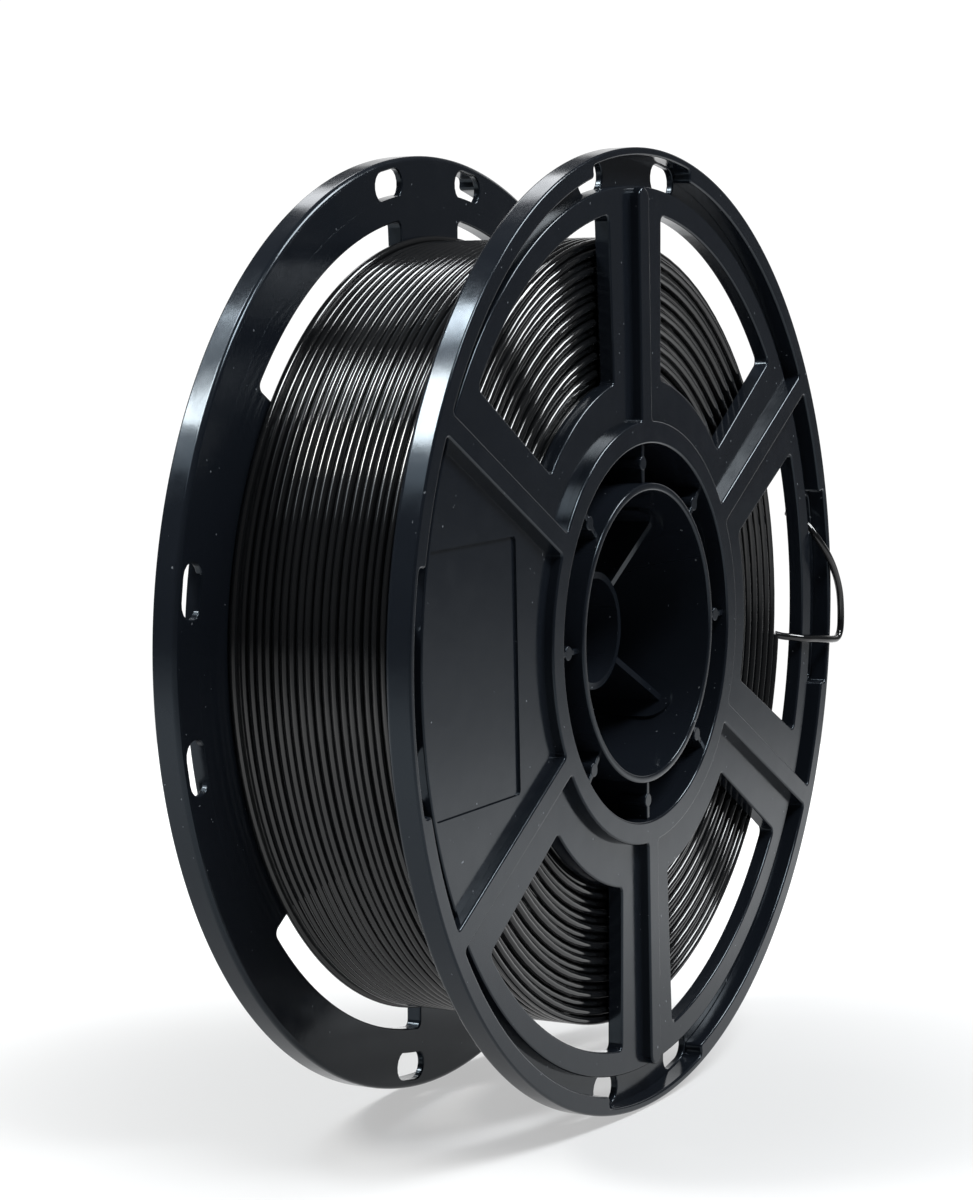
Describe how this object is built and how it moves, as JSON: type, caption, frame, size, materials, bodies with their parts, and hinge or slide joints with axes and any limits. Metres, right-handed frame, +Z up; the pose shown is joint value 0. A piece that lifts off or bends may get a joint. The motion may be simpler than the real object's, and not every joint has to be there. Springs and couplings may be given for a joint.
{
  "type": "filament spool",
  "caption": "Wide-flanged filament spool with windowed flanges, strand slots around the rims, a rod bore through the hub, and a wound strand with a loose end.",
  "frame": {"origin": "on the spool's axis, half way between the two outer faces", "axes": "+Y along the spool's axis, from the near flange to the far one; +Z up and +X to the right as the near flange is looked at from outside; the sector with no window points to -X"},
  "size_m": [0.2042, 0.0579, 0.2],
  "materials": {
    "moulded_black": "glossy injection-moulded plastic, black with a slight blue cast",
    "filament_black": "glossy extruded plastic strand, black"
  },
  "bodies": {
    "root": {"near_rim": "moulded_black", "near_web": "moulded_black", "near_spoke_ribs": "moulded_black", "near_hub_ring": "moulded_black", "near_barrel": "moulded_black", "near_bore_tube": "moulded_black", "near_gussets": "moulded_black", "far_rim": "moulded_black", "far_web": "moulded_black", "far_spoke_ribs": "moulded_black", "far_hub_ring": "moulded_black", "far_barrel": "moulded_black", "far_bore_tube": "moulded_black", "far_gussets": "moulded_black", "core_tube": "moulded_black", "core_arms": "moulded_black", "core_tongues": "moulded_black", "filament_winding": "filament_black", "filament_tail": "filament_black"}
  },
  "joints": []
}
